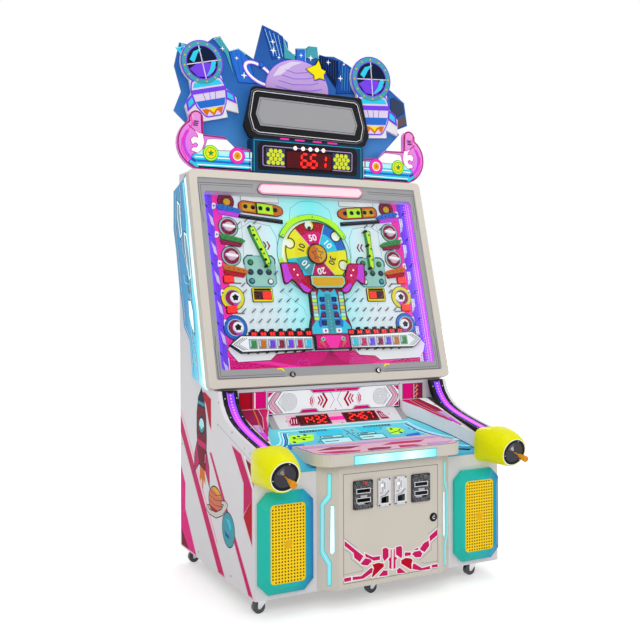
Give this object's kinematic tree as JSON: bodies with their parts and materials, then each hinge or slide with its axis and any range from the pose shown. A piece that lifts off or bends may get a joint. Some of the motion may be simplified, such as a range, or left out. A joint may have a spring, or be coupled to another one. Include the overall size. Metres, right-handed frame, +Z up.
{
  "type": "pachinko machine",
  "caption": "Arcade pinball redemption machine with spring plungers, a leaning glazed playfield with a prize wheel, a lit marquee, coin door, speakers and casters.",
  "frame": {"origin": "on the floor under the middle of the overall box", "axes": "+Z up, -Y towards the player, +X to the player's right"},
  "size_m": [1.4934, 1.2834, 2.856],
  "materials": {
    "white_laminate": "satin laminate",
    "raw_board": "bare board",
    "white_plastic": "gloss",
    "cream_plastic": "satin",
    "grey_bezel": "satin",
    "clear_glass": "clear",
    "cyan_print": "printed, gloss",
    "side_light": "lit acrylic",
    "light_trim": "lit strip",
    "wheel_print": "printed, gloss",
    "black_plastic": "satin",
    "navy_plastic": "gloss",
    "pink_plastic": "lit acrylic",
    "teal_plastic": "satin",
    "grille_yellow": "painted, perforated",
    "yellow_plastic": "gloss",
    "orange_knob": "gloss",
    "zinc_metal": "brushed",
    "dark_metal": "hammered paint",
    "bright_metal": "polished",
    "zinc_steel": "zinc plated",
    "grey_rubber": "matt"
  },
  "bodies": {
    "cabinet": {"bottom_panel": "raw_board", "column_front_left": "white_laminate", "column_front_right": "white_laminate", "console_shell": "cream_plastic", "console_top": "cream_plastic", "deck_board": "cyan_print", "led_trim_left": "light_trim", "led_trim_right": "light_trim", "ledge_left": "white_plastic", "ledge_right": "white_plastic", "marquee_box": "navy_plastic", "marquee_wing_left": "pink_plastic", "marquee_wing_right": "pink_plastic", "playfield_board": "cyan_print", "playfield_box": "white_laminate", "plunger_housing_left": "yellow_plastic", "plunger_housing_right": "yellow_plastic", "plunger_plate_left": "black_plastic", "plunger_plate_right": "black_plastic", "rear_panel": "raw_board", "rear_speaker_panel": "white_laminate", "side_light_left": "side_light", "side_light_right": "side_light", "side_panel_left": "white_laminate", "side_panel_right": "white_laminate", "skyline_board": "cyan_print", "space_pod_left": "white_plastic", "space_pod_right": "white_plastic", "speaker_bezel_left": "teal_plastic", "speaker_bezel_right": "teal_plastic", "speaker_grille_left": "grille_yellow", "speaker_grille_right": "grille_yellow", "title_plate": "black_plastic", "top_panel": "white_laminate", "wheel_motor": "black_plastic"},
    "display_door": {"display_frame": "cream_plastic", "display_bezel": "grey_bezel", "display_glass": "clear_glass"},
    "coin_door": {"coin_door": "cream_plastic", "coin_plate_left": "zinc_metal", "coin_plate_right": "zinc_metal", "ticket_plate_left": "dark_metal", "ticket_plate_right": "dark_metal"},
    "door_lock": {"door_lock": "bright_metal"},
    "reject_button_left": {"reject_button_left": "bright_metal"},
    "reject_button_right": {"reject_button_right": "bright_metal"},
    "rear_door": {"rear_door": "raw_board"},
    "plunger_left": {"plunger_left": "orange_knob"},
    "plunger_right": {"plunger_right": "orange_knob"},
    "prize_wheel": {"prize_wheel": "wheel_print"},
    "caster_fork_front_left": {"caster_fork_front_left": "zinc_steel"},
    "caster_wheel_front_left": {"caster_wheel_front_left": "grey_rubber"},
    "caster_fork_front_middle": {"caster_fork_front_middle": "zinc_steel"},
    "caster_wheel_front_middle": {"caster_wheel_front_middle": "grey_rubber"},
    "caster_fork_front_right": {"caster_fork_front_right": "zinc_steel"},
    "caster_wheel_front_right": {"caster_wheel_front_right": "grey_rubber"},
    "caster_fork_rear_left": {"caster_fork_rear_left": "zinc_steel"},
    "caster_wheel_rear_left": {"caster_wheel_rear_left": "grey_rubber"},
    "caster_fork_rear_right": {"caster_fork_rear_right": "zinc_steel"},
    "caster_wheel_rear_right": {"caster_wheel_rear_right": "grey_rubber"}
  },
  "joints": [
    {"name": "coin_door_hinge", "type": "hinge", "parent": "cabinet", "child": "coin_door", "pos_m": [-0.256, -0.41826, 0.35], "axis": [0, 0, -1], "range_deg": [0, 110]},
    {"name": "rear_door_hinge", "type": "hinge", "parent": "cabinet", "child": "rear_door", "pos_m": [0.3492, 0.64174, 0.7], "axis": [0, 0, -1], "range_deg": [0, 110]},
    {"name": "display_door_hinge", "type": "hinge", "parent": "cabinet", "child": "display_door", "pos_m": [0, 0.39074, 2.047], "axis": [-1, 0, 0], "range_deg": [0, 60]},
    {"name": "prize_wheel_spin", "type": "hinge", "parent": "cabinet", "child": "prize_wheel", "pos_m": [0, 0.27898, 1.63543], "axis": [0, -0.965, 0.2621], "continuous": true},
    {"name": "plunger_left_pull", "type": "slide", "parent": "cabinet", "child": "plunger_left", "axis": [0, -0.9724, -0.2334], "range_m": [0, 0.05], "stiffness_N_per_m": 300, "springref_m": -0.01},
    {"name": "plunger_right_pull", "type": "slide", "parent": "cabinet", "child": "plunger_right", "axis": [0, -0.9724, -0.2334], "range_m": [0, 0.05], "stiffness_N_per_m": 300, "springref_m": -0.01},
    {"name": "door_lock_turn", "type": "hinge", "parent": "coin_door", "child": "door_lock", "pos_m": [0.23, -0.41826, 0.352], "axis": [0, -1, 0], "range_deg": [0, 90]},
    {"name": "reject_button_left_press", "type": "slide", "parent": "coin_door", "child": "reject_button_left", "axis": [0, 1, 0], "range_m": [0, 0.003], "stiffness_N_per_m": 400},
    {"name": "reject_button_right_press", "type": "slide", "parent": "coin_door", "child": "reject_button_right", "axis": [0, 1, 0], "range_m": [0, 0.003], "stiffness_N_per_m": 400},
    {"name": "swivel_front_left", "type": "hinge", "parent": "cabinet", "child": "caster_fork_front_left", "pos_m": [-0.575, -0.28826, 0.06], "axis": [0, 0, 1], "continuous": true},
    {"name": "roll_front_left", "type": "hinge", "parent": "caster_fork_front_left", "child": "caster_wheel_front_left", "pos_m": [-0.615, -0.28826, 0.02875], "axis": [0, 1, 0], "continuous": true},
    {"name": "swivel_front_middle", "type": "hinge", "parent": "cabinet", "child": "caster_fork_front_middle", "pos_m": [0, -0.28826, 0.06], "axis": [0, 0, 1], "continuous": true},
    {"name": "roll_front_middle", "type": "hinge", "parent": "caster_fork_front_middle", "child": "caster_wheel_front_middle", "pos_m": [-0.04, -0.28826, 0.02875], "axis": [0, 1, 0], "continuous": true},
    {"name": "swivel_front_right", "type": "hinge", "parent": "cabinet", "child": "caster_fork_front_right", "pos_m": [0.575, -0.28826, 0.06], "axis": [0, 0, 1], "continuous": true},
    {"name": "roll_front_right", "type": "hinge", "parent": "caster_fork_front_right", "child": "caster_wheel_front_right", "pos_m": [0.535, -0.28826, 0.02875], "axis": [0, 1, 0], "continuous": true},
    {"name": "swivel_rear_left", "type": "hinge", "parent": "cabinet", "child": "caster_fork_rear_left", "pos_m": [-0.575, 0.56674, 0.06], "axis": [0, 0, 1], "continuous": true},
    {"name": "roll_rear_left", "type": "hinge", "parent": "caster_fork_rear_left", "child": "caster_wheel_rear_left", "pos_m": [-0.615, 0.56674, 0.02875], "axis": [0, 1, 0], "continuous": true},
    {"name": "swivel_rear_right", "type": "hinge", "parent": "cabinet", "child": "caster_fork_rear_right", "pos_m": [0.575, 0.56674, 0.06], "axis": [0, 0, 1], "continuous": true},
    {"name": "roll_rear_right", "type": "hinge", "parent": "caster_fork_rear_right", "child": "caster_wheel_rear_right", "pos_m": [0.535, 0.56674, 0.02875], "axis": [0, 1, 0], "continuous": true}
  ]
}
